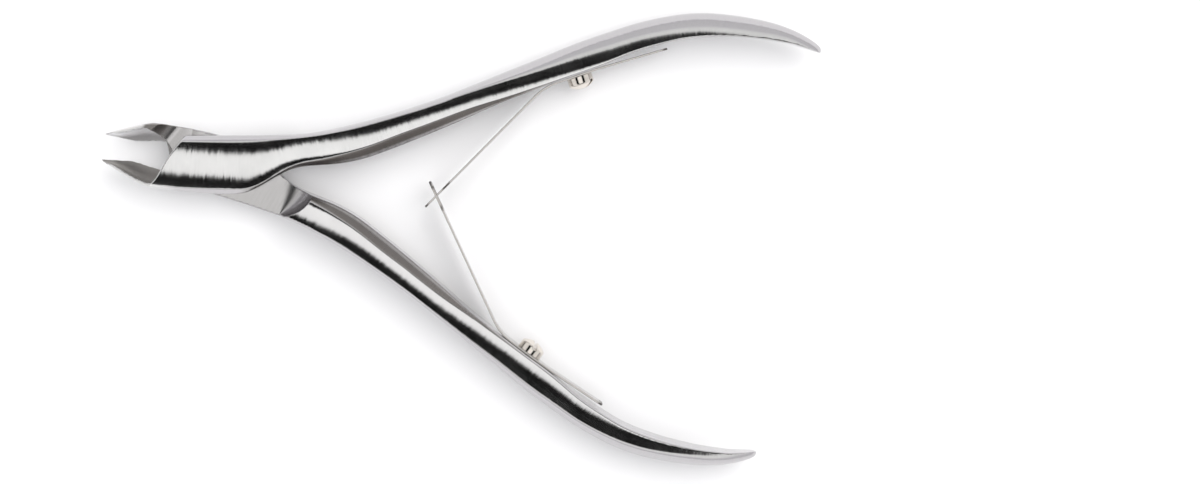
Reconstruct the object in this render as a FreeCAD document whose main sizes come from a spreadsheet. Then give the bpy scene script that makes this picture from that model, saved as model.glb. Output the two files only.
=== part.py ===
import FreeCAD, Part
import math
import os
import Sketcher

# Cuticle nipper, lap joint, double leaf springs, lying on its back.
# Millimetres. Origin on the pivot axis, on the table plane under the joint.
# +X runs from the pivot to the handle ends, +Y to the front half's handle,
# +Z is the pivot axis, towards the front plate. Modelled with the jaws open.

V = FreeCAD.Vector
doc = FreeCAD.newDocument("cuticle_nipper")

# ---------------------------------------------------------------- dimensions
sheet = doc.addObject("Spreadsheet::Sheet", "Dimensions")
DIMS = [
    ("mid_plane", 3.9, "height of the lap face, the middle of the tool"),
    ("lap_gap", 0.02, "each lap face stands off the mid plane by this"),
    ("plate_half", 3.8, "half thickness of the joint at its crest"),
    ("plate_edge", 2.15, "half thickness of the joint at its rim"),
    ("cove_centre_x", 7.86, "centre of the cove that ends the lap recess"),
    ("cove_centre_y", 0.44, "its offset to the handle side"),
    ("cove_flat", 2.9, "radius where the cove starts to rise"),
    ("cove_radius", 3.0, "radius of the cove"),
    ("side_cove_x", 7.3, "centre of the smaller cove at the outer side"),
    ("side_cove_y", 4.4, "its offset to the handle side"),
    ("side_cove_flat", 1.0, "radius where the smaller cove starts to rise"),
    ("side_cove_radius", 2.8, "radius of the smaller cove"),
    ("station_pitch", 2.0, "spacing of the lofted sections along the handle"),
    ("shaft_radius", 2.0, "pivot screw, threaded shank"),
    ("shaft_depth", 6.3, "top of the shank, blind in the front plate"),
    ("bore_radius", 2.04, "running bore in the rear half"),
    ("head_radius", 3.0, "pivot screw head"),
    ("head_height", 1.4, "pivot screw head, its back face on the table"),
    ("sink_radius", 3.06, "counterbore for the head in the rear half"),
    ("sink_depth", 1.44, "top of the counterbore"),
    ("spanner_radius", 0.45, "spanner holes in the pivot screw head"),
    ("spanner_offset", 1.75, "their distance from the axis"),
    ("spanner_depth", 0.7, "their depth"),
    ("leaf_thick", 0.3, "leaf spring strip, thickness"),
    ("leaf_width", 3.6, "leaf spring strip, width along Z"),
    ("tongue_width", 1.6, "narrow end of the upper leaf"),
    ("window_width", 2.3, "window in the lower leaf"),
    ("screw_shank", 1.0, "spring screw shank radius"),
    ("screw_head", 1.97, "spring screw head radius"),
    ("screw_cheese", 1.25, "height of the head's straight side"),
    ("screw_dome", 0.75, "height of the head's dome"),
    ("screw_length", 3.0, "shank length under the strip"),
    ("slot_width", 0.6, "screwdriver slot"),
    ("slot_depth", 1.05, "screwdriver slot, from the top of the dome"),
    ("seat_angle", 28.0, "slope of the spring seat to +X, degrees"),
    ("seat_x", 50.5, "point on the spring seat"),
    ("seat_y", 22.15, "point on the spring seat"),
    ("upper_screw_x", 50.5, "upper spring screw, along X"),
    ("lower_screw_x", 49.4, "lower spring screw, along X"),
    ("cross_x", 31.85, "where the two springs cross"),
    ("cross_y", 0.42, "where the two springs cross"),
    ("upper_corner_x", 45.5, "corner of the upper spring's bend"),
    ("lower_corner_x", 44.55, "corner of the lower spring's bend"),
    ("bend_radius", 9.0, "bend of each spring"),
    ("upper_tail", 11.3, "tail of the upper spring past its clamped part"),
    ("lower_tail", 9.8, "tail of the lower spring past its clamped part"),
    ("tail_turn", 3.0, "the tail leans off the handle, degrees"),
    ("arm_beyond", 2.45, "each spring runs on past the crossing"),
    ("tongue_start", 2.6, "the tongue starts before the crossing"),
    ("window_before", 2.0, "window, on the clamp side of the crossing"),
    ("window_after", 1.55, "window, on the free side of the crossing"),
    ("arm_gap", 0.08, "gap between clamped part and flexing arm"),
]
for i, (name, value, note) in enumerate(DIMS):
    row = str(i + 1)
    sheet.set("A" + row, name)
    sheet.set("B" + row, str(value))
    sheet.set("C" + row, note)
    sheet.setAlias("B" + row, name)

# Stations along the handle: X, outer Y, inner Y at the mid plane, crease Y,
# crest Y, half height, half height of the rim, crease height, inner flat.
STATIONS = [
    (-13.0, 2.55, -4.80, -4.70, -0.55, 3.80, 2.15, 2.15, 2.00),
    (-8.0, 3.55, -4.80, -4.70, -0.25, 3.80, 2.15, 2.15, 2.00),
    (-4.0, 4.20, -4.62, -4.52, -0.05, 3.80, 2.15, 2.15, 2.00),
    (0.0, 4.85, -4.15, -4.05, 0.35, 3.80, 2.15, 2.20, 2.05),
    (3.0, 5.30, -3.55, -3.45, 0.85, 3.80, 2.10, 2.35, 2.15),
    (5.0, 5.65, -2.35, -2.20, 1.45, 3.80, 1.95, 2.60, 2.30),
    (7.0, 6.00, -0.65, -0.40, 2.30, 3.80, 1.65, 2.95, 2.35),
    (9.0, 6.35, 0.85, 1.25, 3.10, 3.80, 1.30, 3.25, 2.15),
    (11.0, 6.85, 1.80, 2.35, 3.75, 3.78, 0.95, 3.42, 1.90),
    (13.4, 7.60, 2.35, 3.10, 4.35, 3.75, 0.65, 3.50, 1.70),
    (17.0, 9.00, 3.20, 4.50, 5.30, 3.70, 0.40, 3.52, 1.50),
    (20.0, 10.30, 4.30, 5.90, 6.45, 3.66, 0.30, 3.52, 1.50),
    (25.0, 12.65, 7.00, 8.80, 9.05, 3.60, 0.25, 3.52, 1.60),
    (30.0, 15.25, 10.00, 11.60, 11.75, 3.55, 0.25, 3.50, 2.00),
    (35.0, 18.15, 13.15, 14.40, 14.45, 3.52, 0.25, 3.48, 2.60),
    (40.0, 21.15, 16.40, 16.85, 16.85, 3.55, 0.25, 3.50, 3.10),
    (45.0, 24.10, 19.20, 19.40, 19.40, 3.62, 0.25, 3.56, 3.35),
    (50.0, 27.10, 21.90, 22.05, 22.00, 3.72, 0.25, 3.66, 3.50),
    (54.0, 29.20, 24.05, 24.20, 24.05, 3.80, 0.25, 3.75, 3.60),
    (58.0, 31.20, 26.55, 26.70, 26.35, 3.86, 0.25, 3.80, 3.65),
    (62.0, 32.80, 28.50, 28.65, 28.10, 3.90, 0.25, 3.84, 3.70),
    (66.0, 34.00, 30.10, 30.25, 29.50, 3.90, 0.25, 3.84, 3.70),
    (70.0, 34.60, 31.05, 31.20, 30.30, 3.88, 0.25, 3.80, 3.65),
    (74.0, 34.75, 31.60, 31.73, 30.65, 3.75, 0.25, 3.65, 3.50),
    (78.0, 34.60, 31.85, 31.95, 30.85, 3.40, 0.22, 3.30, 3.15),
    (81.5, 34.05, 31.80, 31.88, 30.85, 2.90, 0.20, 2.80, 2.65),
    (84.3, 33.15, 31.45, 31.52, 30.60, 2.25, 0.16, 2.15, 2.00),
    (86.0, 32.35, 31.15, 31.20, 30.45, 1.55, 0.12, 1.45, 1.35),
    (86.8, 31.80, 31.05, 31.09, 30.40, 0.95, 0.08, 0.88, 0.80),
]
for i, row in enumerate(STATIONS):
    for k, value in enumerate(row):
        sheet.set("EFGHIJKLM"[k] + str(i + 1), str(value))
doc.recompute()


def dim(name):
    return float(sheet.get(name))


def station(i):
    return [float(sheet.get("EFGHIJKLM"[k] + str(i + 1))) for k in range(9)]


MID = dim("mid_plane")
GAP = dim("lap_gap")


# ---------------------------------------------------------- forging, profile
def crown(values, count=8):
    # Top of one section, from the inner crease to the outer apex.
    x, outer, inner, crease, crest, high, rim, edge, flat = values
    points = []
    for j in range(count):
        q = math.sin(j / (count - 1) * math.pi / 2)
        y = crease + (outer - crease) * q
        if y < crest:
            q2 = (crest - y) / (crest - crease)
            z = high - (high - edge) * (1 - math.sqrt(max(0.0, 1 - (q2 * 0.96) ** 2))) / (1 - math.sqrt(1 - 0.96 ** 2))
        else:
            q2 = min(1.0, (y - crest) / (outer - crest))
            z = rim + (high - rim) * math.sqrt(max(0.0, 1 - q2 * q2))
        points.append((y, z))
    return points


def section(values, side):
    # Closed wire in the plane X = x. side is +1 for the +Y handle.
    x, outer, inner, crease, crest, high, rim, edge, flat = values
    top = crown(values)
    loop = top + [(outer, 0.0)] + [(y, -z) for (y, z) in reversed(top)]
    points = [V(x, side * y, MID + z) for (y, z) in loop]
    curve = Part.BSplineCurve()
    count = len(points)
    curve.interpolate(Points=points, Parameters=[j / (count - 1) for j in range(count)])
    first, last = points[0], points[-1]
    a = V(x, side * inner, MID - flat)
    b = V(x, side * inner, MID + flat)
    edges = [curve.toShape(), Part.makeLine(last, a), Part.makeLine(a, b), Part.makeLine(b, first)]
    return Part.Wire(edges)


def monotone(xs, ys):
    # Monotone cubic through the table, so that no outline overshoots.
    n = len(xs)
    d = [(ys[i + 1] - ys[i]) / (xs[i + 1] - xs[i]) for i in range(n - 1)]
    m = [d[0]] + [0.0] * (n - 2) + [d[-1]]
    for i in range(1, n - 1):
        if d[i - 1] * d[i] > 0:
            h0, h1 = xs[i] - xs[i - 1], xs[i + 1] - xs[i]
            w0, w1 = 2 * h1 + h0, h1 + 2 * h0
            m[i] = (w0 + w1) / (w0 / d[i - 1] + w1 / d[i])

    def at(x):
        i = max(0, min(n - 2, sum(1 for v in xs if v <= x) - 1))
        h = xs[i + 1] - xs[i]
        q = (x - xs[i]) / h
        return ((1 + 2 * q) * (1 - q) ** 2 * ys[i] + q * (1 - q) ** 2 * h * m[i]
                + q * q * (3 - 2 * q) * ys[i + 1] + q * q * (q - 1) * h * m[i + 1])

    return at


def blank(side):
    rows = [station(i) for i in range(len(STATIONS))]
    xs = [r[0] for r in rows]
    curves = [monotone(xs, [r[k] for r in rows]) for k in range(1, 9)]
    pitch = dim("station_pitch")
    count = int(round((84.0 - xs[0]) / pitch))
    places = [xs[0] + (84.0 - xs[0]) * j / count for j in range(count + 1)] + [85.2, 86.1, xs[-1]]
    wires = [section([x] + [c(x) for c in curves], side) for x in places]
    solid = Part.makeLoft(wires, True, False)
    if solid.Volume < 0:
        solid.reverse()
    return solid


# ------------------------------------------------------------- jaw, profile
# X, rim Y, rim Z, edge Y, edge Z, back Y, back Z, side Y, side Z (about MID)
JAW = [
    (-19.45, 2.20, 0.20, 1.92, -0.10, 2.06, -0.48, 2.26, -0.12),
    (-18.90, 2.58, 0.50, 1.86, -0.32, 2.22, -0.85, 2.64, -0.12),
    (-18.00, 3.10, 0.88, 1.78, -0.65, 2.42, -1.35, 3.17, -0.12),
    (-16.50, 3.70, 1.32, 1.64, -1.15, 2.70, -2.00, 3.78, -0.15),
    (-15.00, 4.12, 1.70, 1.50, -1.55, 2.92, -2.50, 4.20, -0.18),
    (-13.50, 4.46, 1.96, 1.70, -1.80, 3.08, -2.85, 4.54, -0.20),
    (-12.00, 4.68, 2.10, 2.00, -1.95, 3.18, -3.08, 4.76, -0.20),
    (-10.50, 4.74, 2.15, 2.12, -2.00, 3.20, -3.18, 4.80, -0.20),
    (-9.00, 4.74, 2.15, 2.00, -2.00, 3.12, -3.20, 4.80, -0.20),
    (-7.40, 4.70, 2.12, 1.90, -2.00, 3.00, -3.15, 4.76, -0.20),
]


def jaw(side):
    wires = []
    for x, ry, rz, ey, ez, by, bz, sy, sz in JAW:
        rim = V(x, side * ry, MID + rz)
        edge = V(x, side * ey, MID + ez)
        back = V(x, side * by, MID + bz)
        outer = V(x, side * sy, MID + sz)
        # the hollow sags towards the outer back
        chord = edge.sub(rim)
        normal = V(0, chord.z, -chord.y)
        if normal.y * side < 0:
            normal = normal.multiply(-1)
        normal.normalize()
        sag = rim.add(edge).multiply(0.5).add(V(normal).multiply(chord.Length * 0.16))
        edges = [
            Part.Arc(rim, sag, edge).toShape(),
            Part.makeLine(edge, back),
            Part.Arc(back, outer, rim).toShape(),
        ]
        wires.append(Part.Wire(edges))
    solid = Part.makeLoft(wires, True, False)
    if solid.Volume < 0:
        solid.reverse()
    return solid


def prism(points, z0, z1):
    wire = Part.makePolygon([V(x, y, z0) for (x, y) in points + points[:1]])
    return Part.Face(wire).extrude(V(0, 0, z1 - z0))


def recess(side):
    # Everything behind the lap face, ended by the cove at the handle.
    # side +1: below the mid plane (front half); -1: above it (rear half).
    cx, cy = dim("cove_centre_x"), side * dim("cove_centre_y")
    flat, rad = dim("cove_flat"), dim("cove_radius")
    far = 6.0
    box = prism([(-30, -12), (cx, -12), (cx, 12), (-30, 12)], 0, far)
    lines = [
        Part.makeLine(V(0, 0, 0), V(flat, 0, 0)),
        Part.Arc(V(flat, 0, 0), V(flat + rad * math.sin(math.pi / 4), 0, rad * (1 - math.cos(math.pi / 4))), V(flat + rad, 0, rad)).toShape(),
        Part.makeLine(V(flat + rad, 0, rad), V(flat + rad + 0.25, 0, far)),
        Part.makeLine(V(flat + rad + 0.25, 0, far), V(0, 0, far)),
        Part.makeLine(V(0, 0, far), V(0, 0, 0)),
    ]
    bowl = Part.Face(Part.Wire(lines)).revolve(V(0, 0, 0), V(0, 0, 1), 360)
    bowl.translate(V(cx, cy, 0))
    flat, rad = dim("side_cove_flat"), dim("side_cove_radius")
    lines = [
        Part.makeLine(V(0, 0, 0), V(flat, 0, 0)),
        Part.Arc(V(flat, 0, 0), V(flat + rad * math.sin(math.pi / 4), 0, rad * (1 - math.cos(math.pi / 4))), V(flat + rad, 0, rad)).toShape(),
        Part.makeLine(V(flat + rad, 0, rad), V(flat + rad + 0.25, 0, far)),
        Part.makeLine(V(flat + rad + 0.25, 0, far), V(0, 0, far)),
        Part.makeLine(V(0, 0, far), V(0, 0, 0)),
    ]
    small = Part.Face(Part.Wire(lines)).revolve(V(0, 0, 0), V(0, 0, 1), 360)
    small.translate(V(dim("side_cove_x"), side * dim("side_cove_y"), 0))
    cutter = box.fuse([bowl, small])
    cutter.translate(V(0, 0, -GAP))
    if side > 0:
        cutter = cutter.mirror(V(0, 0, 0), V(0, 0, 1))
    cutter.translate(V(0, 0, MID))
    return cutter


def half(side):
    # Plate and handle, cut along the slanted left edge of the plate.
    body = blank(side)
    edge = [(-7.2, 3.6), (-8.6, 1.15), (-9.4, -0.5), (-10.3, -3.0), (-11.2, -4.4), (-12.1, -4.95)]
    left = [(-6.6, 5.2)] + edge + [(-12.3, -6.5), (-20, -6.5), (-20, 8)]
    body = body.cut(prism([(x, side * y) for (x, y) in left], -2, 10))
    body = body.cut(recess(side))
    # Jaw, kept clear of the other half's plate over the whole travel.
    nose = jaw(-side)
    wall = [(-7.55, -5.6), (-7.75, -4.9), (-9.05, -2.75), (-9.95, -1.3), (-10.2, 0.5), (-5, 0.5), (-5, -5.6)]
    if side > 0:
        keep = prism([(x, side * y) for (x, y) in wall], -2, MID + GAP)
    else:
        keep = prism([(x, side * y) for (x, y) in wall], MID - GAP, 10)
    nose = nose.cut(keep)
    body = body.fuse(nose).removeSplitter()
    return body


front_blank = doc.addObject("Part::Feature", "FrontForging")
front_blank.Shape = half(1)
rear_blank = doc.addObject("Part::Feature", "RearForging")
rear_blank.Shape = half(-1)

# ----------------------------------------------- spring seats, shared figures
ANG = math.radians(dim("seat_angle"))
UX, UY = math.cos(ANG), math.sin(ANG)          # along the seat, away from the pivot
NX, NY = math.sin(ANG), -math.cos(ANG)         # off the seat, into the tool
THICK = dim("leaf_thick")


def on_seat(x, off):
    # Point at station x of the upper seat line, off the seat face by off.
    t = (x - dim("seat_x")) / UX
    return (dim("seat_x") + t * UX + off * NX, dim("seat_y") + t * UY + off * NY)


# ------------------------------------------------ machined cuts as documents
def cylinder(name, radius, height, place, label=None):
    obj = doc.addObject("Part::Cylinder", name)
    obj.setExpression("Radius", radius)
    obj.setExpression("Height", height)
    obj.Placement = place
    obj.Label = label or name
    return obj


def seat_cut(name, side):
    obj = doc.addObject("Part::Box", name)
    obj.Length, obj.Width, obj.Height = 8.4, 1.6, 12.0
    x, y = on_seat(dim("upper_screw_x") - 4.4, 0)
    if side > 0:
        obj.Placement = FreeCAD.Placement(V(x + 1.6 * NX, y + 1.6 * NY, MID - 6), FreeCAD.Rotation(V(0, 0, 1), dim("seat_angle")))
    else:
        obj.Placement = FreeCAD.Placement(V(x, -y, MID - 6), FreeCAD.Rotation(V(0, 0, 1), -dim("seat_angle")))
    return obj


def screw_place(side, depth_in):
    # Frame on the seat face with its Z pointing off the seat.
    x, y = on_seat(dim("upper_screw_x") if side > 0 else dim("lower_screw_x"), -depth_in)
    direction = V(NX, side * NY, 0)
    return FreeCAD.Placement(V(x, side * y, MID), FreeCAD.Rotation(V(0, 0, 1), direction))


def cut(name, base, tool):
    obj = doc.addObject("Part::Cut", name)
    obj.Base, obj.Tool = base, tool
    return obj


def fuse(name, shapes):
    obj = doc.addObject("Part::MultiFuse", name)
    obj.Shapes = shapes
    return obj


up = FreeCAD.Placement(V(0, 0, 0), FreeCAD.Rotation())
front_tap = cylinder("FrontTap", "Dimensions.shaft_radius", "Dimensions.shaft_depth", up)
front_hole = cylinder("FrontSpringHole", "Dimensions.screw_shank", "Dimensions.screw_length + 0.2", screw_place(1, dim("screw_length")))
front_tools = fuse("FrontTools", [front_tap, front_hole, seat_cut("FrontSeat", 1)])
front_half = cut("FrontHalf", front_blank, front_tools)
front_half.Label = "front_half"

rear_bore = cylinder("RearBore", "Dimensions.bore_radius", "Dimensions.mid_plane + 2", up)
rear_sink = cylinder("RearSink", "Dimensions.sink_radius", "Dimensions.sink_depth", up)
rear_hole = cylinder("RearSpringHole", "Dimensions.screw_shank", "Dimensions.screw_length + 0.2", screw_place(-1, dim("screw_length")))
rear_tools = fuse("RearTools", [rear_bore, rear_sink, rear_hole, seat_cut("RearSeat", -1)])
rear_half = cut("RearHalf", rear_blank, rear_tools)
rear_half.Label = "rear_half"


# --------------------------------------------------------------- pivot screw
def plane(body, role):
    return [f for f in body.Origin.OriginFeatures if f.Role == role][0]


def sketch_on(body, name, role, offset=None):
    sk = body.newObject("Sketcher::SketchObject", name)
    sk.AttachmentSupport = [(plane(body, role), "")]
    sk.MapMode = "FlatFace"
    if offset is not None:
        sk.AttachmentOffset = offset
    return sk


def polyline(sk, points):
    count = len(points)
    base = sk.GeometryCount
    for j in range(count):
        a, b = points[j], points[(j + 1) % count]
        sk.addGeometry(Part.LineSegment(V(a[0], a[1], 0), V(b[0], b[1], 0)), False)
    for j in range(count):
        sk.addConstraint(Sketcher.Constraint("Coincident", base + j, 2, base + (j + 1) % count, 1))
    return base


def turned(body, name, steps):
    # Stepped profile in the body's XZ plane, turned about its Z axis. Each
    # step is (radius expression, top expression); the first bottom is z = 0.
    sk = sketch_on(body, name + "Profile", "XZ_Plane")
    values = [(dim_of(r), dim_of(h)) for (r, h) in steps]
    points = [(0, 0)]
    low = 0.0
    for radius, top in values:
        points.append((radius, low))
        points.append((radius, top))
        low = top
    points.append((0, low))
    base = polyline(sk, points)
    sk.addConstraint(Sketcher.Constraint("PointOnObject", base, 1, -2))
    sk.addConstraint(Sketcher.Constraint("PointOnObject", base, 1, -1))
    for j in range(len(points)):
        a, b = points[j], points[(j + 1) % len(points)]
        if abs(a[1] - b[1]) < 1e-9:
            sk.addConstraint(Sketcher.Constraint("Horizontal", base + j))
        else:
            sk.addConstraint(Sketcher.Constraint("Vertical", base + j))
    for k, (radius, top) in enumerate(steps):
        index = sk.addConstraint(Sketcher.Constraint("DistanceX", -1, 1, base + 1 + 2 * k, 1, values[k][0]))
        sk.setExpression("Constraints[%d]" % index, radius)
        index = sk.addConstraint(Sketcher.Constraint("DistanceY", -1, 1, base + 1 + 2 * k, 2, values[k][1]))
        sk.setExpression("Constraints[%d]" % index, top)
    rev = body.newObject("PartDesign::Revolution", name)
    rev.Profile = sk
    rev.ReferenceAxis = (sk, ["V_Axis"])
    rev.Angle = 360
    doc.recompute()
    return rev


def dim_of(expression):
    total = 0.0
    for term in expression.replace("- ", "+ -").split("+"):
        term = term.strip()
        sign = 1.0
        if term.startswith("-"):
            sign, term = -1.0, term[1:].strip()
        if term.startswith("Dimensions."):
            total += sign * dim(term[len("Dimensions."):])
        else:
            total += sign * float(term)
    return total


pivot = doc.addObject("PartDesign::Body", "PivotScrew")
pivot.Label = "pivot_screw"
turned(pivot, "PivotTurned", [("Dimensions.head_radius", "Dimensions.head_height"), ("Dimensions.shaft_radius", "Dimensions.shaft_depth")])
sk = sketch_on(pivot, "SpannerHoles", "XY_Plane")
for j, sign in enumerate((1, -1)):
    sk.addGeometry(Part.Circle(V(sign * dim("spanner_offset"), 0, 0), V(0, 0, 1), dim("spanner_radius")), False)
    index = sk.addConstraint(Sketcher.Constraint("Radius", j, dim("spanner_radius")))
    sk.setExpression("Constraints[%d]" % index, "Dimensions.spanner_radius")
    sk.addConstraint(Sketcher.Constraint("PointOnObject", j, 3, -1))
    if sign > 0:
        index = sk.addConstraint(Sketcher.Constraint("DistanceX", -1, 1, j, 3, dim("spanner_offset")))
    else:
        index = sk.addConstraint(Sketcher.Constraint("DistanceX", j, 3, -1, 1, dim("spanner_offset")))
    sk.setExpression("Constraints[%d]" % index, "Dimensions.spanner_offset")
pocket = pivot.newObject("PartDesign::Pocket", "SpannerPocket")
pocket.Profile = sk
pocket.setExpression("Length", "Dimensions.spanner_depth")
doc.recompute()
solid_volume = math.pi * (dim("head_radius") ** 2 * dim("head_height") + dim("shaft_radius") ** 2 * (dim("shaft_depth") - dim("head_height")))
if pivot.Shape.Volume > solid_volume - 0.1:
    pocket.Reversed = True
    doc.recompute()


# -------------------------------------------------------------- spring screws
def spring_screw(name, label, side):
    body = doc.addObject("PartDesign::Body", name)
    body.Label = label
    sk = sketch_on(body, name + "Profile", "XZ_Plane")
    # shank below z = 0 in the screw's frame; head from the strip's inner face
    low = -dim("screw_length")
    face = THICK
    shank, head = dim("screw_shank"), dim("screw_head")
    cheese = face + dim("screw_cheese")
    dome = cheese + dim("screw_dome")
    sphere = (head ** 2 + dim("screw_dome") ** 2) / (2 * dim("screw_dome"))
    turn = math.asin(head / sphere)
    mid = (sphere * math.sin(turn / 2), dome - sphere + sphere * math.cos(turn / 2))
    pts = [(0, low), (shank, low), (shank, face), (head, face), (head, cheese)]
    for j in range(4):
        sk.addGeometry(Part.LineSegment(V(pts[j][0], pts[j][1], 0), V(pts[j + 1][0], pts[j + 1][1], 0)), False)
    sk.addGeometry(Part.Arc(V(head, cheese, 0), V(mid[0], mid[1], 0), V(0, dome, 0)), False)
    sk.addGeometry(Part.LineSegment(V(0, dome, 0), V(0, low, 0)), False)
    rev = body.newObject("PartDesign::Revolution", name + "Turned")
    rev.Profile = sk
    rev.ReferenceAxis = (sk, ["V_Axis"])
    rev.Angle = 360
    doc.recompute()
    slot = sketch_on(body, name + "SlotSketch", "XY_Plane", FreeCAD.Placement(V(0, 0, dome), FreeCAD.Rotation()))
    w = dim("slot_width") / 2
    polyline(slot, [(-4, -w), (4, -w), (4, w), (-4, w)])
    cutter = body.newObject("PartDesign::Pocket", name + "Slot")
    cutter.Profile = slot
    cutter.setExpression("Length", "Dimensions.slot_depth")
    doc.recompute()
    body.Placement = screw_place(side, 0).multiply(FreeCAD.Placement(V(0, 0, 0), FreeCAD.Rotation(V(0, 0, 1), 62 if side > 0 else 70)))
    return body


upper_screw = spring_screw("UpperSpringScrew", "upper_spring_screw", 1)
lower_screw = spring_screw("LowerSpringScrew", "lower_spring_screw", -1)


# --------------------------------------------------------------- leaf springs
def leaf_line(side):
    # Corner of the bend, arm direction, bend tangent length, in the +Y frame.
    cx = dim("upper_corner_x") if side > 0 else dim("lower_corner_x")
    corner = on_seat(cx, THICK / 2)
    cross = (dim("cross_x"), side * dim("cross_y"))
    dx, dy = cross[0] - corner[0], cross[1] - corner[1]
    length = math.hypot(dx, dy)
    arm = (dx / length, dy / length)
    turn = math.acos(max(-1, min(1, -(UX * arm[0] + UY * arm[1]))))
    tangent = dim("bend_radius") * math.tan(turn / 2)
    return corner, arm, length, turn, tangent


def strip_base(side):
    # Clamped part: tail, seat and bend, as the edge view of the strip.
    corner, arm, length, turn, tangent = leaf_line(side)
    h = THICK / 2
    R = dim("bend_radius")
    start = (corner[0] + tangent * UX, corner[1] + tangent * UY)      # bend starts
    finish = (corner[0] + tangent * arm[0], corner[1] + tangent * arm[1])
    # the bend's centre lies on the inner side of the strip
    centre = (start[0] + R * NX, start[1] + R * NY)
    nf = ((finish[0] - centre[0]) / R, (finish[1] - centre[1]) / R)
    ns = (-NX, -NY)
    nm = ((ns[0] + nf[0]) / 2, (ns[1] + nf[1]) / 2)
    k = math.hypot(*nm)
    nm = (nm[0] / k, nm[1] / k)
    clamp = on_seat(53.0, h)
    a2 = ANG - math.radians(dim("tail_turn"))
    tail = (math.cos(a2), math.sin(a2))
    tn = (math.sin(a2), -math.cos(a2))
    reach = dim("upper_tail") if side > 0 else dim("lower_tail")
    end = (clamp[0] + reach * tail[0], clamp[1] + reach * tail[1])

    def p(centre_point, normal, off):
        return V(centre_point[0] + normal[0] * off, side * (centre_point[1] + normal[1] * off), 0)

    n = (NX, NY)
    # outer side (towards the handle) has negative offset
    s_out, s_in = p(start, n, -h), p(start, n, h)
    f_out, f_in = p(centre, nf, R + h), p(centre, nf, R - h)
    m_out, m_in = p(centre, nm, R + h), p(centre, nm, R - h)
    kn = ((n[0] + tn[0]) / 2, (n[1] + tn[1]) / 2)
    kk = math.hypot(*kn) ** 2
    kn = (kn[0] / kk, kn[1] / kk)
    c_out, c_in = p(clamp, kn, -h), p(clamp, kn, h)
    e_out, e_in = p(end, tn, -h), p(end, tn, h)
    edges = [
        Part.LineSegment(e_out, c_out), Part.LineSegment(c_out, s_out),
        Part.Arc(s_out, m_out, f_out), Part.LineSegment(f_out, f_in),
        Part.Arc(f_in, m_in, s_in), Part.LineSegment(s_in, c_in),
        Part.LineSegment(c_in, e_in), Part.LineSegment(e_in, e_out),
    ]
    return edges, finish


def base_body(name, label, side):
    body = doc.addObject("PartDesign::Body", name)
    body.Label = label
    sk = sketch_on(body, name + "Edge", "XY_Plane")
    edges, finish = strip_base(side)
    for e in edges:
        sk.addGeometry(e, False)
    pad = body.newObject("PartDesign::Pad", name + "Pad")
    pad.Profile = sk
    pad.setExpression("Length", "Dimensions.leaf_width")
    pad.Midplane = True
    doc.recompute()
    hole = doc.addObject("Part::Cylinder", name + "Hole")
    hole.setExpression("Radius", "Dimensions.screw_shank")
    hole.Height = 4
    hole.Placement = screw_place(side, 2)
    body.Placement = FreeCAD.Placement(V(0, 0, MID), FreeCAD.Rotation())
    body.Label = name + "_strip"
    result = cut(name + "Pierced", body, hole)
    result.Label = label
    return result


def arm_body(name, label, side):
    # Flexing arm in its own frame: +X from the hinge to the free end, +Y
    # across the strip's thickness, width along Z about the mid plane.
    corner, arm, length, turn, tangent = leaf_line(side)
    body = doc.addObject("PartDesign::Body", name)
    body.Label = label
    reach = length - tangent                     # hinge to crossing
    w, wt, ww = dim("leaf_width") / 2, dim("tongue_width") / 2, dim("window_width") / 2
    sk = sketch_on(body, name + "Plan", "XZ_Plane")
    x0, x1 = dim("arm_gap"), reach + dim("arm_beyond")
    if side > 0:
        xs = reach - dim("tongue_start")
        polyline(sk, [(x0, -w), (xs, -w), (xs + 0.9, -wt), (x1, -wt), (x1, wt), (xs + 0.9, wt), (xs, w), (x0, w)])
    else:
        polyline(sk, [(x0, -w), (x1, -w), (x1, w), (x0, w)])
    pad = body.newObject("PartDesign::Pad", name + "Pad")
    pad.Profile = sk
    pad.setExpression("Length", "Dimensions.leaf_thick")
    pad.Midplane = True
    doc.recompute()
    if side < 0:
        wn = sketch_on(body, name + "WindowSketch", "XZ_Plane")
        a, b = reach - dim("window_before"), reach + dim("window_after")
        polyline(wn, [(a, -ww), (b, -ww), (b, ww), (a, ww)])
        pocket = body.newObject("PartDesign::Pocket", name + "Window")
        pocket.Profile = wn
        pocket.Type = "ThroughAll"
        pocket.Midplane = True
        doc.recompute()
    finish = (corner[0] + tangent * arm[0], side * (corner[1] + tangent * arm[1]))
    angle = math.degrees(math.atan2(side * arm[1], arm[0]))
    body.Placement = FreeCAD.Placement(V(finish[0], finish[1], MID), FreeCAD.Rotation(V(0, 0, 1), angle))
    print("%s hinge %.4f %.4f angle %.3f reach %.4f turn %.2f" % (label, finish[0], finish[1], angle, reach, math.degrees(turn)))
    return body


upper_base = base_body("UpperLeafBase", "upper_leaf_base", 1)
upper_arm = arm_body("UpperLeafArm", "upper_leaf_arm", 1)
lower_base = base_body("LowerLeafBase", "lower_leaf_base", -1)
lower_arm = arm_body("LowerLeafArm", "lower_leaf_arm", -1)

doc.recompute()

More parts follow.
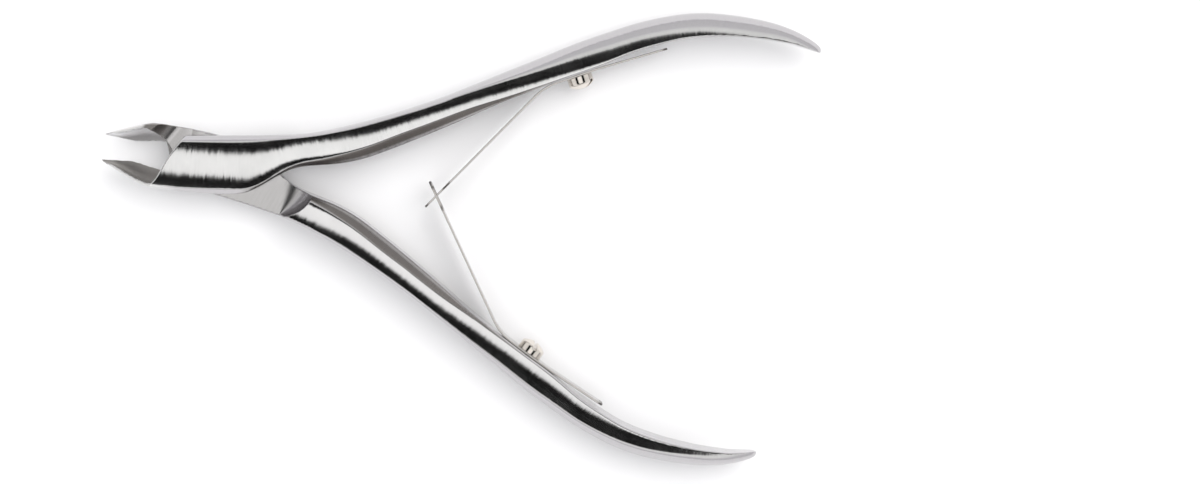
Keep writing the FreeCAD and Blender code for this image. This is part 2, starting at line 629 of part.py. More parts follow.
# -------------------------------------------------------------- check, export
NODES = [front_half, rear_half, pivot, upper_base, upper_arm, lower_base, lower_arm, upper_screw, lower_screw]
for obj in doc.Objects:
    if "Invalid" in obj.State or "Error" in obj.State:
        raise RuntimeError("failed object: %s %s" % (obj.Name, obj.State))
os.makedirs("parts", exist_ok=True)
for obj in NODES:
    shape = obj.Shape
    if shape.isNull() or not shape.isValid():
        raise RuntimeError("bad shape: " + obj.Label)
    if len(shape.Solids) != 1:
        raise RuntimeError("%s has %d solids" % (obj.Label, len(shape.Solids)))
    box = shape.BoundBox
    print("%-20s vol %9.3f  X %7.2f..%7.2f Y %7.2f..%7.2f Z %6.2f..%6.2f faces %d" % (
        obj.Label, shape.Volume, box.XMin, box.XMax, box.YMin, box.YMax, box.ZMin, box.ZMax, len(shape.Faces)))
    shape.exportStep("parts/%s.step" % obj.Label)
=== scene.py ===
# Cuticle nipper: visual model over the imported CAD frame.
# Shapes are worked out in millimetres, heights from the lap face, and turned
# into metres when a mesh is made.
import bpy
import math
import numpy as np
from mathutils import Vector, Matrix


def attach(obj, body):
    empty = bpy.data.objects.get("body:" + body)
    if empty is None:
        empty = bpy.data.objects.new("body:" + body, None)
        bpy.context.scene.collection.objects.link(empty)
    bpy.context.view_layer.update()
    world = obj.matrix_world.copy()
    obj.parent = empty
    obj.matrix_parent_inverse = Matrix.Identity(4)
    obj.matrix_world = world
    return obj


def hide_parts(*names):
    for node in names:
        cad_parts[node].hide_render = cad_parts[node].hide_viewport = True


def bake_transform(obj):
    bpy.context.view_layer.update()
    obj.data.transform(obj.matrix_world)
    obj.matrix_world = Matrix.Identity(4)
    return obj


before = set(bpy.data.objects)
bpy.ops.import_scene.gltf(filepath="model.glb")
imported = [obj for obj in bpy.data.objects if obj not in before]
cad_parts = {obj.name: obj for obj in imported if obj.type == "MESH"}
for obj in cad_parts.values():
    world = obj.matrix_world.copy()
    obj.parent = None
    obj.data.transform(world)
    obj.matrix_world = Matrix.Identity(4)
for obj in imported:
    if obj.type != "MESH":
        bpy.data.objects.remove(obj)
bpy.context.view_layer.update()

MM = 0.001
MID = 3.9            # height of the lap face above the table
GAP = 0.02
CELL = 0.17          # surface pitch on the forgings

# ------------------------------------------------------------------ figures
# X, outer, inner, crease, crest, half height, rim, crease height, inner flat
ST = np.array([
    (-13.0, 2.55, -4.80, -4.52, -0.55, 3.80, 2.15, 3.10, 2.00),
    (-8.0, 3.55, -4.80, -4.32, -0.25, 3.80, 2.15, 3.12, 2.00),
    (-4.0, 4.20, -4.62, -3.95, -0.05, 3.80, 2.15, 3.16, 2.00),
    (0.0, 4.85, -4.15, -3.42, 0.35, 3.80, 2.15, 3.20, 2.05),
    (3.0, 5.30, -3.55, -3.00, 0.85, 3.80, 2.10, 3.25, 2.20),
    (5.0, 5.65, -2.35, -2.02, 1.45, 3.80, 1.95, 3.30, 2.40),
    (7.0, 6.00, -0.65, -0.36, 2.30, 3.80, 1.65, 3.38, 2.45),
    (9.0, 6.35, 0.85, 1.25, 3.10, 3.80, 1.30, 3.44, 2.50),
    (11.0, 6.85, 1.80, 2.35, 3.75, 3.78, 0.95, 3.50, 2.60),
    (13.4, 7.60, 2.35, 3.10, 4.35, 3.75, 0.65, 3.52, 2.70),
    (17.0, 9.00, 3.20, 4.50, 5.30, 3.70, 0.40, 3.54, 2.42),
    (20.0, 10.30, 4.30, 5.90, 6.45, 3.66, 0.30, 3.54, 2.20),
    (25.0, 12.65, 7.00, 8.80, 9.05, 3.60, 0.25, 3.53, 2.05),
    (30.0, 15.25, 10.00, 11.60, 11.75, 3.55, 0.25, 3.50, 2.18),
    (35.0, 18.15, 13.15, 14.40, 14.45, 3.52, 0.25, 3.48, 2.60),
    (40.0, 21.15, 16.40, 16.85, 16.85, 3.55, 0.25, 3.50, 3.10),
    (45.0, 24.10, 19.20, 19.40, 19.40, 3.62, 0.25, 3.56, 3.35),
    (50.0, 27.10, 21.90, 22.05, 22.00, 3.72, 0.25, 3.66, 3.50),
    (54.0, 29.20, 24.05, 24.20, 24.05, 3.80, 0.25, 3.75, 3.60),
    (58.0, 31.20, 26.55, 26.70, 26.35, 3.86, 0.25, 3.80, 3.65),
    (62.0, 32.80, 28.50, 28.65, 28.10, 3.90, 0.25, 3.84, 3.70),
    (66.0, 34.00, 30.10, 30.25, 29.50, 3.90, 0.25, 3.84, 3.70),
    (70.0, 34.60, 31.05, 31.20, 30.30, 3.88, 0.25, 3.80, 3.65),
    (74.0, 34.75, 31.60, 31.73, 30.65, 3.75, 0.25, 3.65, 3.50),
    (78.0, 34.60, 31.85, 31.95, 30.85, 3.40, 0.22, 3.30, 3.15),
    (81.5, 34.05, 31.80, 31.88, 30.85, 2.90, 0.20, 2.80, 2.65),
    (84.3, 33.15, 31.45, 31.52, 30.60, 2.25, 0.16, 2.15, 2.00),
    (86.0, 32.35, 31.15, 31.20, 30.45, 1.55, 0.12, 1.45, 1.35),
    (86.8, 31.80, 31.05, 31.09, 30.40, 0.95, 0.08, 0.88, 0.80),
    (88.0, 31.00, 30.90, 30.93, 30.30, 0.50, 0.05, 0.45, 0.40),
])
# X, rim Y, rim Z, edge Y, edge Z, back Y, back Z, side Y, side Z
JAW = np.array([
    (-20.3, 1.45, -0.12, 1.66, -0.18, 1.60, -0.26, 1.48, -0.18),
    (-19.45, 1.98, 0.18, 1.90, -0.10, 1.98, -0.42, 2.04, -0.12),
    (-18.90, 2.22, 0.46, 1.84, -0.32, 2.06, -0.78, 2.29, -0.12),
    (-18.00, 2.62, 0.86, 1.76, -0.65, 2.24, -1.28, 2.70, -0.12),
    (-16.50, 3.22, 1.32, 1.62, -1.15, 2.52, -1.94, 3.30, -0.15),
    (-15.00, 3.82, 1.70, 1.50, -1.55, 2.82, -2.46, 3.90, -0.18),
    (-13.50, 4.34, 1.96, 1.70, -1.80, 3.05, -2.84, 4.42, -0.20),
    (-12.00, 4.68, 2.10, 2.00, -1.95, 3.18, -3.08, 4.76, -0.20),
    (-10.50, 4.74, 2.15, 2.12, -2.00, 3.20, -3.18, 4.80, -0.20),
    (-9.00, 4.74, 2.15, 2.00, -2.00, 3.12, -3.20, 4.80, -0.20),
    (-7.40, 4.70, 2.12, 1.90, -2.00, 3.00, -3.15, 4.76, -0.20),
    (-5.00, 4.66, 2.10, 1.90, -2.00, 3.00, -3.15, 4.72, -0.20),
])
# Left edge of the plate and wall of the jaw root, in the +Y half's plan.
PLATE_EDGE = [(-5.0, 8.0), (-7.2, 3.6), (-8.6, 1.15), (-9.4, -0.5), (-10.3, -3.0), (-11.2, -4.4), (-12.1, -4.95), (-13.2, -5.6)]
ROOT_EDGE = [(-7.3, -6.6), (-7.75, -4.9), (-9.05, -2.75), (-9.95, -1.3), (-10.2, 0.5), (-10.3, 1.6)]
# Crown radius, and its crisp shoulder as a share of the outer half width.
# One pair for each half: the rear handle keeps its flat crown further out.
CROWN_X = [-13, 0, 10, 17, 25, 32, 40, 45, 50, 54, 58, 62, 66, 70, 74, 78]
CROWN_R = {1: [12.0, 12.5, 11.2, 12.5, 10.8, 9.0, 8.2, 6.8, 5.4, 4.5, 3.6, 2.8, 2.0, 1.8, 1.6, 1.4],
           -1: [12.0, 12.5, 11.2, 12.5, 11.4, 11.8, 12.6, 13.0, 12.6, 12.0, 11.0, 9.0, 7.3, 6.3, 5.4, 4.6]}
CROWN_E = {1: [0.84, 0.85, 0.90, 0.88, 0.86, 0.80, 0.69, 0.62, 0.56, 0.51, 0.47, 0.42, 0.37, 0.355, 0.345, 0.33],
           -1: [0.84, 0.85, 0.90, 0.88, 0.88, 0.86, 0.83, 0.80, 0.785, 0.775, 0.76, 0.73, 0.69, 0.66, 0.62, 0.58]}
# Where the rear jaw's hollow stops, in the same plan as ROOT_EDGE.
HOLLOW_END = [(-15.2, -5.4), (-14.3, -4.6), (-13.3, -4.05), (-12.2, -3.6), (-11.0, -3.0), (-9.9, -2.2), (-9.05, -1.26), (-8.5, 0.4)]
COVE_X = 8.5
# spring seat, on the +Y half
SEAT_A = math.radians(28.0)
UX, UY = math.cos(SEAT_A), math.sin(SEAT_A)
NX, NY = math.sin(SEAT_A), -math.cos(SEAT_A)


def monotone(xs, ys):
    # Monotone cubic through a table, on a fine pitch.
    d = np.diff(ys) / np.diff(xs)
    m = np.zeros(len(xs))
    m[0], m[-1] = d[0], d[-1]
    for i in range(1, len(xs) - 1):
        if d[i - 1] * d[i] > 0:
            h0, h1 = xs[i] - xs[i - 1], xs[i + 1] - xs[i]
            w0, w1 = 2 * h1 + h0, h1 + 2 * h0
            m[i] = (w0 + w1) / (w0 / d[i - 1] + w1 / d[i])
    fine = np.arange(xs[0], xs[-1] + 1e-9, 0.05)
    i = np.clip(np.searchsorted(xs, fine, side="right") - 1, 0, len(xs) - 2)
    h = xs[i + 1] - xs[i]
    q = (fine - xs[i]) / h
    v = ((1 + 2 * q) * (1 - q) ** 2 * ys[i] + q * (1 - q) ** 2 * h * m[i]
         + q * q * (3 - 2 * q) * ys[i + 1] + q * q * (q - 1) * h * m[i + 1])
    return fine, v


def smooth(v, width):
    k = np.exp(-0.5 * (np.arange(-3 * width, 3 * width + 1) / width) ** 2)
    k /= k.sum()
    n = 3 * width
    left = 2 * v[0] - v[n:0:-1]
    right = 2 * v[-1] - v[-2:-n - 2:-1]
    return np.convolve(np.concatenate([left, v, right]), k, "valid")


FX = monotone(ST[:, 0], ST[:, 1])[0]
RAW = [None] + [monotone(ST[:, 0], ST[:, k])[1] for k in range(1, 9)]
# The stretch towards the handle's end keeps the table's own quick taper.
tail_mix = np.clip((FX - 80.0) / 3.0, 0, 1)
COL = [None] + [smooth(RAW[k], 18) * (1 - tail_mix) + RAW[k] * tail_mix for k in range(1, 9)]
JX = monotone(JAW[:, 0], JAW[:, 1])[0]
JC = [None] + [smooth(monotone(JAW[:, 0], JAW[:, k])[1], 4) for k in range(1, 9)]


# ------------------------------------------------------- distance functions
def smax(a, b, r):
    # Maximum with its corner rounded over about r.
    h = np.clip(0.5 + 0.5 * (a - b) / r, 0, 1)
    return b + (a - b) * h + r * h * (1 - h)


def smin(a, b, r):
    return -smax(-a, -b, r)


def ell(y, z, a, b):
    # Distance to the ellipse y2/a2 + z2/b2 = 1, first order.
    f = np.sqrt((y / a) ** 2 + (z / b) ** 2) + 1e-9
    g = np.sqrt((y / a ** 2) ** 2 + (z / b ** 2) ** 2) + 1e-6
    return (f - 1) * f / g


def left_of(x, y, pts):
    # Distance to an open polyline, positive on the left of the walk.
    best = np.full(x.shape, 1e9)
    sign = np.zeros(x.shape)
    for (x0, y0), (x1, y1) in zip(pts[:-1], pts[1:]):
        dx, dy = x1 - x0, y1 - y0
        t = np.clip(((x - x0) * dx + (y - y0) * dy) / (dx * dx + dy * dy), 0, 1)
        d = np.hypot(x - x0 - t * dx, y - y0 - t * dy)
        c = dx * (y - y0) - dy * (x - x0)
        m = d < best - 1e-9
        best = np.where(m, d, best)
        sign = np.where(m, np.where(c >= 0, 1.0, -1.0), sign)
    return best * sign


def chaikin(pts, n=2):
    for _ in range(n):
        out = [pts[0]]
        for a, b in zip(pts[:-1], pts[1:]):
            out.append((0.75 * a[0] + 0.25 * b[0], 0.75 * a[1] + 0.25 * b[1]))
            out.append((0.25 * a[0] + 0.75 * b[0], 0.25 * a[1] + 0.75 * b[1]))
        out.append(pts[-1])
        pts = out
    return pts


PLATE_EDGE = chaikin(PLATE_EDGE)
ROOT_EDGE = chaikin(ROOT_EDGE)
HOLLOW_END = chaikin(HOLLOW_END)


def circle_through(y1, z1, y2, z2, y3, z3):
    d = 2 * (y1 * (z2 - z3) + y2 * (z3 - z1) + y3 * (z1 - z2))
    d = np.where(np.abs(d) < 1e-7, 1e-7, d)
    s1, s2, s3 = y1 ** 2 + z1 ** 2, y2 ** 2 + z2 ** 2, y3 ** 2 + z3 ** 2
    cy = (s1 * (z2 - z3) + s2 * (z3 - z1) + s3 * (z1 - z2)) / d
    cz = (s1 * (y3 - y2) + s2 * (y1 - y3) + s3 * (y2 - y1)) / d
    return cy, cz, np.hypot(y1 - cy, z1 - cz)


def blank(x, y, z, s=1):
    # Plate and handle before the lap is cut; same above and below the lap.
    yo, yi, yc, yk, hk, rim, hc, hf = [np.interp(x, FX, c) for c in COL[1:]]
    za = np.abs(z)
    p = y - yk
    a1, b1 = np.maximum(yo - yk, 0.05), np.maximum(hk - rim, 0.05)
    # towards the handle's end: one round side from the crest to the rim
    far = np.where(za < rim, p - a1, ell(p, np.maximum(za - rim, 0), a1, b1))
    # elsewhere: a crown that runs into a flat, a crisp shoulder and a steep side
    R = np.interp(x, CROWN_X, CROWN_R[s])
    e = np.interp(x, CROWN_X, CROWN_E[s]) * a1
    turn = np.interp(x, [19, 29, 45], [math.radians(20.0), math.radians(14.4), math.radians(13.4)])

    def crown_at(p):
        pt = R * np.sin(turn)
        q = np.clip(p, -pt, pt)
        z = hk - R + np.sqrt(R * R - q * q)
        return z - np.tan(turn) * np.maximum(np.abs(p) - pt, 0) - 0.001 * np.maximum(np.abs(p) - pt, 0) ** 2
    slope = np.abs(np.clip(p, -R * np.sin(turn), R * np.sin(turn))) / R
    crown = (za - crown_at(p)) * np.sqrt(1 - slope ** 2)
    ze = crown_at(e)
    bw = np.maximum(hk - rim, 0.1) * 1.12
    q = np.sqrt(1 - np.clip((ze - rim) / bw, 0.05, 0.97) ** 2)
    pc = (e - q * a1) / (1 - q)
    aw = a1 - pc
    wall = np.where(za < rim, p - a1, ell(np.maximum(p - pc, 0), np.maximum(za - rim, 0), aw, bw))
    k = np.clip((x - 31.0) / 11.0, 0, 1)
    facet = (p - e) * 0.78 + (za - ze) * 0.626 - 1.5 * k
    near = smax(crown, smax(wall, facet, 0.30), 0.10 + 0.06 * k)
    k = np.clip((x - 77.5 + 1.5 * s) / 6.5, 0, 1)
    k = k * k * (3 - 2 * k)
    out = near * (1 - k) + far * k
    # inner side of the crown: a shallow fall to the crease and on past it
    dh, dy = np.maximum(hk - hc, 0.02), np.maximum(yk - yc, 0.12)
    fall = np.minimum(2 * dh / dy, 0.36)
    m = np.minimum(-p, dy)
    inn = (za - hk + fall * m * m / (2 * dy) + fall * np.maximum(-p - dy, 0)) / np.sqrt(1 + (fall * np.clip(m / dy, 0, 1)) ** 2)
    top = np.where(p >= 0, out, inn)
    side = smax(yi - y, inner_faces(x, y, z)[1], 0.16)
    return top, side


def inner_faces(x, y, z):
    # The flat inner side of a handle and the bevel above it.
    yi, yc, hc, hf = [np.interp(x, FX, COL[k]) for k in (2, 3, 7, 8)]
    L = np.hypot(hc - hf, yc - yi) + 1e-6
    return yi - y, (-(hc - hf) * (y - yi) + (yc - yi) * (np.abs(z) - hf)) / L


def jaw(x, y, z):
    # Jaw on the +Y side: outside, hollow and back bevel.
    ry, rz, ey, ez, by, bz, sy, sz = [np.interp(x, JX, c) for c in JC[1:]]
    cy, cz, r = circle_through(by, bz, sy, sz, ry, rz)
    hull = np.hypot(y - cy, z - cz) - r
    # a narrow bright land runs along the rim, above the hollow
    w = np.clip((x + 19.1) * 0.30, 0.06, 0.50)
    land = (y - ry) * 0.53 + (z - rz) * 0.848
    ry, rz = ry - w, rz + 0.60 * w
    dy, dz = ez - rz, -(ey - ry)
    L = np.hypot(dy, dz) + 1e-6
    ny, nz = dy / L, dz / L
    s = np.where(ny < 0, -1.0, 1.0)
    my, mz = (ry + ey) / 2 + s * ny * L * 0.16, (rz + ez) / 2 + s * nz * L * 0.16
    hy, hz, hr = circle_through(ry, rz, my, mz, ey, ez)
    hollow = hr - np.hypot(y - hy, z - hz)
    dy, dz = by - ey, bz - ez
    L = np.hypot(dy, dz) + 1e-6
    back = (dz * (y - ey) - dy * (z - ez)) / L
    inside = dz * (sy - ey) - dy * (sz - ez)
    back = np.where(inside > 0, -back, back)
    chord = -s * (ny * (y - ry) + nz * (z - rz)) - 0.02
    return smax(hull, land, np.clip((x + 19.6) * 0.05, 0.02, 0.08)), smax(hollow, chord, 0.05), back


def recess(x, y, z):
    # Positive inside the lap recess; cut on the z < 0 side. Its floor rises
    # in one long cove to an arc about the joint.
    v = np.clip(y, -3.0, 6.25)
    reach = 7.86 + np.sqrt(np.maximum(34.6 - (v - 0.44) ** 2, 0.3))
    L = np.maximum(reach - COVE_X, 1.0)
    q = np.clip((x - COVE_X) / L, 0, 1.4)
    c = np.minimum(q, 0.985)
    rise = 3.8 * (1 - np.sqrt(1 - c * c)) + (q - c) * L * 5.71
    slope = np.where(q > 0, 3.8 / L * c / np.sqrt(1 - c * c), 0)
    return (GAP - z - rise) / np.sqrt(1 + slope ** 2)


def parts_of(x, y, z, s):
    # Every bounding function of one half. s +1 front (handle +Y), -1 rear.
    yy, zb = s * y, s * z
    top, side = blank(x, yy, zb, s)
    cut = -left_of(x, yy, PLATE_EDGE)
    rec = recess(x, yy, zb)
    ox, oy = x - 50.5, yy - 22.15
    off, run = ox * NX + oy * NY, ox * UX + oy * UY
    seat = np.minimum(np.minimum(off, run + 4.98), 3.42 - run)
    return top, side, cut, rec, seat


def half_field(x, y, z, s, masks=False):
    yy, zb = s * y, s * z
    top, side, cut, rec, seat = parts_of(x, y, z, s)
    f = smax(top, side, 0.13)
    f = smax(f, x - 86.74, 0.45)
    f = smax(f, cut, 0.22)
    f = smax(f, seat, 0.05)
    plate = f
    f = smax(f, rec, 0.09)
    r = np.hypot(x, y)
    if s > 0:
        bore = np.minimum(2.0 - r, 2.4 - z)
    else:
        bore = smax(2.04 - r, np.minimum(3.06 - r, -2.46 - z), 0.04)
    f = smax(f, bore, 0.06)
    hull, hollow, back = jaw(x, -yy, z)
    root = -left_of(x, yy, ROOT_EDGE)
    if s < 0:
        hollow = smin(hollow, left_of(x, yy, HOLLOW_END), 0.10)
    rt = np.clip((x + 19.9) * 0.10, 0.03, 0.24)
    n = smax(hull, hollow, rt * 0.5)
    n = smax(n, back, np.clip(rt * 0.4, 0.02, 0.07))
    n = smax(n, -19.40 - x, 0.04)
    # the root is ground away beside the lap; on the rear half in a long cove
    d = GAP - zb
    R = 0.4 if s > 0 else 3.3
    cove = R - np.hypot(np.maximum(-root, 0), np.maximum(R - d, 0))
    n = smax(n, np.minimum(cove, d), 0.10)
    n = smax(n, x + 6.2, 0.4)
    n = np.where(x > -4, 5.0, n)
    out = smin(f, n, 0.16)
    if not masks:
        return out
    rest = np.maximum(np.maximum(hull, back), np.minimum(cove, d))
    # in_hollow marks the jaw's ground hollow; it raises roughness and carries the hollow colour, which is painted
    # shade on the front half and painted light on the rear
    in_hollow = np.clip((hollow - rest) / 0.12 + 0.3, 0, 1) * np.clip((f - n) / 0.1 + 0.5, 0, 1) * (x < -4.5)
    in_lap = np.clip((rec - plate) / 0.2 + 0.5, 0, 1) * np.clip((n - f) / 0.1 + 0.5, 0, 1)
    g1, g2 = inner_faces(x, yy, zb)
    rest = np.maximum(np.maximum(top, cut), np.maximum(rec, seat))
    # in_bevel: the inner bevel facets, with their own brushed finish and a colour darkened as painted shade
    in_bevel = np.clip((np.maximum(g1, g2) - rest) / 0.10 + 0.9, 0, 1) * np.clip((g2 - g1) / 0.12 + 0.4, 0, 1) * np.clip((n - f) / 0.1 + 0.5, 0, 1)
    share = (yy - np.interp(x, FX, COL[2])) / np.maximum(np.interp(x, FX, COL[3]) - np.interp(x, FX, COL[2]), 0.05)
    in_bevel = in_bevel * np.maximum(np.clip((share - 0.14) / 0.26, 0, 1), np.clip((20.0 - x) / 5.0, 0, 1) if s > 0 else 0.55)
    in_bevel = in_bevel * np.clip((x - 2.0) / 3.0, 0, 1) * np.clip((50.0 - x) / 8.0, 0, 1)
    # Rear half: painted shade on the jaw root's shoulder, darker with height, and on the lap floor next to the jaw,
    # put through the bevel colour
    if s < 0:
        right = np.clip((x + 13.9) / 0.6, 0, 1) * (x < -5)
        shoulder = np.clip((f - n) / 0.1 + 0.5, 0, 1) * np.clip(z / 1.3 + 0.40, 0, 1) * (1 - in_hollow)
        floor = in_lap * np.clip((-5.2 - x) / 2.5, 0, 1) * 0.75
        in_bevel = np.maximum(in_bevel, np.maximum(shoulder, floor) * right * (z > -0.3))
    return out, in_hollow, in_lap, in_bevel


# --------------------------------------------------------------- polygoniser
def polygonise(field, lo, hi, step, coarse=5, steps=3):
    # Surface nets on a sparse grid, then each point is pulled to the surface.
    lo, hi = np.array(lo, float), np.array(hi, float)
    cn = np.ceil((hi - lo) / (step * coarse)).astype(int)
    n = cn * coarse + 1
    ax = [lo[k] + step * coarse * np.arange(cn[k] + 1) for k in range(3)]
    gx, gy, gz = np.meshgrid(*ax, indexing="ij")
    C = field(gx, gy, gz)
    corners = [C[i:i + cn[0], j:j + cn[1], k:k + cn[2]] for i in (0, 1) for j in (0, 1) for k in (0, 1)]
    low, high = np.min(corners, axis=0), np.max(corners, axis=0)
    reach = step * coarse * 1.0
    active = (low < reach) & (high > -reach)
    near = np.zeros(n, bool)
    M = active.repeat(coarse, 0).repeat(coarse, 1).repeat(coarse, 2)
    for i in (0, 1):
        for j in (0, 1):
            for k in (0, 1):
                near[i:n[0] - 1 + i, j:n[1] - 1 + j, k:n[2] - 1 + k] |= M
    S = corners[0] < 0
    F = np.ones(n, np.float32)
    F[:-1, :-1, :-1] = np.where(S, -1.0, 1.0).repeat(coarse, 0).repeat(coarse, 1).repeat(coarse, 2)
    idx = np.argwhere(near)
    fx, fy, fz = [(lo[k] + step * np.arange(n[k])) for k in range(3)]
    vals = np.empty(len(idx), np.float32)
    for a in range(0, len(idx), 400000):
        b = idx[a:a + 400000]
        vals[a:a + 400000] = field(fx[b[:, 0]], fy[b[:, 1]], fz[b[:, 2]])
    F[near] = vals
    neg = F < 0
    c = np.zeros(np.array(n) - 1, np.int8)
    for i in (0, 1):
        for j in (0, 1):
            for k in (0, 1):
                c += neg[i:n[0] - 1 + i, j:n[1] - 1 + j, k:n[2] - 1 + k]
    cells = np.argwhere((c > 0) & (c < 8))
    number = np.full(c.shape, -1, np.int32)
    number[cells[:, 0], cells[:, 1], cells[:, 2]] = np.arange(len(cells))
    total, hits = np.zeros((len(cells), 3)), np.zeros(len(cells))
    corner = {}
    for i in (0, 1):
        for j in (0, 1):
            for k in (0, 1):
                corner[i, j, k] = F[cells[:, 0] + i, cells[:, 1] + j, cells[:, 2] + k].astype(float)
    for p in corner:
        for axis in range(3):
            if p[axis]:
                continue
            q = list(p)
            q[axis] = 1
            a, b = corner[p], corner[tuple(q)]
            m = (a < 0) != (b < 0)
            t = np.where(m, a / np.where(a == b, 1, a - b), 0)
            pos = np.tile(np.array(p, float), (len(cells), 1))
            pos[:, axis] += t
            total += pos * m[:, None]
            hits += m
    V = lo + step * (cells + total / hits[:, None])
    faces = []
    for axis in range(3):
        u, w = (axis + 1) % 3, (axis + 2) % 3
        a = neg.take(range(0, n[axis] - 1), axis)
        b = neg.take(range(1, n[axis]), axis)
        e = np.argwhere(a != b)
        e = e[(e[:, u] > 0) & (e[:, w] > 0) & (e[:, u] < n[u] - 1) & (e[:, w] < n[w] - 1)]
        flip = a[e[:, 0], e[:, 1], e[:, 2]]
        quad = []
        for du, dw in ((-1, -1), (0, -1), (0, 0), (-1, 0)):
            q = e.copy()
            q[:, u] += du
            q[:, w] += dw
            quad.append(number[q[:, 0], q[:, 1], q[:, 2]])
        quad = np.stack(quad, 1)
        quad[~flip] = quad[~flip][:, ::-1]
        faces.append(quad)
    faces = np.concatenate(faces)
    for _ in range(steps):
        f = field(V[:, 0], V[:, 1], V[:, 2])
        g = gradient(field, V, 0.012)
        move = f[:, None] * g / np.maximum((g * g).sum(1), 0.2)[:, None]
        size = np.linalg.norm(move, axis=1)
        move *= np.minimum(1, step * 0.5 / np.maximum(size, 1e-9))[:, None]
        V = V - move
    return V, faces


def gradient(field, V, h):
    g = np.empty_like(V)
    for k in range(3):
        d = np.zeros(3)
        d[k] = h
        a, b = V + d, V - d
        g[:, k] = (field(a[:, 0], a[:, 1], a[:, 2]) - field(b[:, 0], b[:, 1], b[:, 2])) / (2 * h)
    return g


def unit(v):
    return v / np.maximum(np.linalg.norm(v, axis=1), 1e-9)[:, None]


def make_mesh(name, V, F, normals=None, brush=None, layers=None, matrix=None):
    # V in mm. brush: (along, across, third) in mm per point, for the grain.
    me = bpy.data.meshes.new(name)
    P = np.asarray(V, float)
    if matrix is not None:
        R, T = np.array(matrix.to_3x3()), np.array(matrix.translation)
        P = P @ R.T + T
        if normals is not None:
            normals = normals @ R.T
    me.from_pydata((P * MM).tolist(), [], F.tolist() if hasattr(F, "tolist") else F)
    me.validate()
    me.polygons.foreach_set("use_smooth", [True] * len(me.polygons))
    if brush is not None:
        at = me.attributes.new("brush", "FLOAT_VECTOR", "POINT")
        at.data.foreach_set("vector", np.asarray(brush, np.float32).ravel())
        uv = me.uv_layers.new(name="grain")
        li = np.empty(len(me.loops), np.int32)
        me.loops.foreach_get("vertex_index", li)
        uv.data.foreach_set("uv", (np.asarray(brush)[li][:, :2] * 0.01).astype(np.float32).ravel())
    for key, val in (layers or {}).items():
        at = me.attributes.new(key, "FLOAT", "POINT")
        at.data.foreach_set("value", np.asarray(val, np.float32))
    if normals is not None:
        me.normals_split_custom_set_from_vertices(normals.tolist())
    me.update()
    ob = bpy.data.objects.new(name, me)
    bpy.context.scene.collection.objects.link(ob)
    return ob


# ------------------------------------------------------------------- halves
def centre_line():
    xs = np.arange(-22, 90, 0.5)
    ys = np.interp(xs, [-22, -6, 0, 4, 8, 12, 16], [0, 0, 0.1, 0.7, 2.2, 4.3, 6.0])
    far = (np.interp(xs, FX, COL[1]) + np.interp(xs, FX, COL[3])) / 2
    k = np.clip((xs - 11) / 8, 0, 1)
    ys = ys * (1 - k) + far * k
    return xs, smooth(ys, 5)


def grain_frame(x, y):
    # Distance along and across the half's centre line.
    xs, ys = centre_line()
    s = np.concatenate([[0], np.cumsum(np.hypot(np.diff(xs), np.diff(ys)))])
    tx, ty = np.gradient(xs), np.gradient(ys)
    L = np.hypot(tx, ty)
    tx, ty = tx / L, ty / L
    best, bi = np.full(len(x), 1e9), np.zeros(len(x), int)
    for i in range(len(xs)):
        d = (x - xs[i]) ** 2 + (y - ys[i]) ** 2
        m = d < best
        best[m] = d[m]
        bi[m] = i
    dx, dy = x - xs[bi], y - ys[bi]
    along = s[bi] + dx * tx[bi] + dy * ty[bi]
    across = -dx * ty[bi] + dy * tx[bi]
    return along, across


def make_half(name, s):
    def field(x, y, z):
        return half_field(x, y, z, s)

    lo = (-20.0, -6.2, -4.1) if s > 0 else (-20.0, -36.0, -4.1)
    hi = (87.4, 36.0, 4.1) if s > 0 else (87.4, 6.2, 4.1)
    V, F = polygonise(field, lo, hi, CELL)
    normals = unit(gradient(field, V, 0.02))
    # convexity, from how fast the field turns just off the surface
    h = 0.14
    lap = np.zeros(len(V))
    for k in range(3):
        for sg in (1, -1):
            P = V.copy()
            P[:, k] += sg * h
            lap += field(P[:, 0], P[:, 1], P[:, 2])
    edge = np.clip(lap / h / 2.0, -1, 1)
    _, hollow, inlap, bevel = half_field(V[:, 0], V[:, 1], V[:, 2], s, masks=True)
    along, across = grain_frame(V[:, 0], s * V[:, 1])
    # steep: painted shade mask, darkening walls whose normals turn away from straight up
    steep = np.clip((0.93 - np.abs(normals[:, 2])) / 0.08, 0, 1) * (1 - bevel) * (1 - hollow) * np.clip((V[:, 0] + 11) / 4, 0, 1)
    P = V + np.array([0, 0, MID])
    return make_mesh(name, P, F, normals, np.stack([along, across, V[:, 2]], 1),
                     {"edge": edge, "hollow": hollow, "lap": inlap, "bevel": bevel, "steep": steep})


front = make_half("front_forging", 1)
rear = make_half("rear_forging", -1)
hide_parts("front_half")
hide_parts("rear_half")
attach(front, "front")
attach(rear, "rear")


# ------------------------------------------------------------------- screws
def screw_field(x, y, z):
    # Spring screw about Z; z = 0 on the seat, head from 0.3 up.
    r = np.hypot(x, y)
    sphere = (1.97 ** 2 + 0.75 ** 2) / 1.5
    dome = np.sqrt(r * r + (z - (2.30 - sphere)) ** 2) - sphere
    head = smax(smax(r - 1.965, dome, 0.16), 0.3 - z, 0.05)
    slot = np.minimum(0.3 - np.abs(y), z - 1.27)
    head = smax(head, slot, 0.10)
    shank = smax(r - 1.0, np.maximum(-2.95 - z, z - 0.4), 0.08)
    return np.minimum(head, shank)


def pivot_field(x, y, z):
    r = np.hypot(x, y)
    head = smax(smax(r - 3.0, -z, 0.22), z - 1.4, 0.05)
    shank = smax(r - 1.99, np.maximum(z - 6.25, 1.3 - z), 0.1)
    holes = np.minimum(0.45 - np.hypot(np.abs(x) - 1.75, y), 0.7 - z)
    mark = 0.10 - np.hypot(z, r - 2.55)
    return smax(smax(np.minimum(head, shank), holes, 0.06), mark, 0.04)


